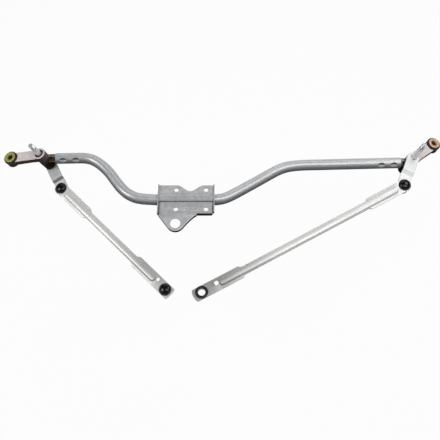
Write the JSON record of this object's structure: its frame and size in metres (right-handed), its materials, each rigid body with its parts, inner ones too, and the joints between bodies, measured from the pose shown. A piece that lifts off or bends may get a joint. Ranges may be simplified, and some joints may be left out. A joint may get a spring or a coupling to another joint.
{
  "type": "wiper linkage",
  "caption": "Windscreen wiper linkage: bent tube frame with motor bracket, cast pivot housings, spindles, cranks and link rods with ball sockets",
  "frame": {"origin": "in the plane of the frame tube, midway between the motor bracket's bolt holes and 21.5 mm in front of the tube's straight middle", "axes": "+X along the frame toward the right pivot, +Z square to the motor bracket's flange, toward the wiper arms"},
  "size_m": [0.8963, 0.3567, 0.1101],
  "materials": {
    "galvanised_steel": "satin galvanised",
    "bracket_steel": "matt galvanised",
    "cast_aluminium": "as cast",
    "bright_steel": "zinc plated",
    "spindle_steel": "machined",
    "yellow_zinc": "yellow zinc plated",
    "copper_zinc": "copper coloured plating",
    "sintered_bronze": "oiled",
    "black_rubber": "matt",
    "black_plastic": "glossy"
  },
  "bodies": {
    "frame": {"frame_tube": "galvanised_steel", "motor_bracket": "bracket_steel", "left_pivot_housing": "cast_aluminium", "left_rubber_bush": "black_rubber", "left_spacer_sleeve": "yellow_zinc", "left_recess_bearing": "sintered_bronze", "left_crank_bearing": "sintered_bronze", "left_shaft_seal": "black_rubber", "left_seal_washer": "bright_steel", "left_thrust_washer": "bright_steel", "right_pivot_housing": "cast_aluminium", "right_rubber_bush": "black_rubber", "right_spacer_sleeve": "copper_zinc", "right_recess_bearing": "sintered_bronze", "right_crank_bearing": "sintered_bronze", "right_shaft_seal": "black_rubber", "right_seal_washer": "bright_steel", "right_thrust_washer": "bright_steel"},
    "left_crank_arm": {"left_spindle": "spindle_steel", "left_crank": "bright_steel", "left_ball_stud": "bright_steel", "left_dust_seal": "black_rubber", "left_circlip": "spindle_steel"},
    "left_rod_arm": {"left_link_rod": "bright_steel", "left_crank_socket": "black_plastic", "left_motor_socket": "black_plastic"},
    "right_crank_arm": {"right_spindle": "spindle_steel", "right_crank": "bright_steel", "right_ball_stud": "bright_steel", "right_dust_seal": "black_rubber", "right_circlip": "spindle_steel"},
    "right_rod_arm": {"right_link_rod": "bright_steel", "right_crank_socket": "black_plastic", "right_motor_socket": "black_plastic"}
  },
  "joints": [
    {"name": "left_wiper_spindle", "type": "hinge", "parent": "frame", "child": "left_crank_arm", "pos_m": [-0.3021, 0.1175, 0], "axis": [-0.2507, -0.1003, 0.9628], "range_deg": [-75, 10]},
    {"name": "left_rod_swing", "type": "hinge", "parent": "left_crank_arm", "child": "left_rod_arm", "pos_m": [-0.2668, 0.06058, -0.02063], "axis": [-0.184, -0.1696, 0.9682], "range_deg": [-60, 5]},
    {"name": "right_wiper_spindle", "type": "hinge", "parent": "frame", "child": "right_crank_arm", "pos_m": [0.4422, 0.1076, 0], "axis": [0.1901, -0.05, 0.9805], "range_deg": [-70, 15]},
    {"name": "right_rod_swing", "type": "hinge", "parent": "right_crank_arm", "child": "right_rod_arm", "pos_m": [0.41843, 0.03794, 0.02839], "axis": [0.0013, -0.1554, 0.9879], "range_deg": [-20, 60]}
  ]
}
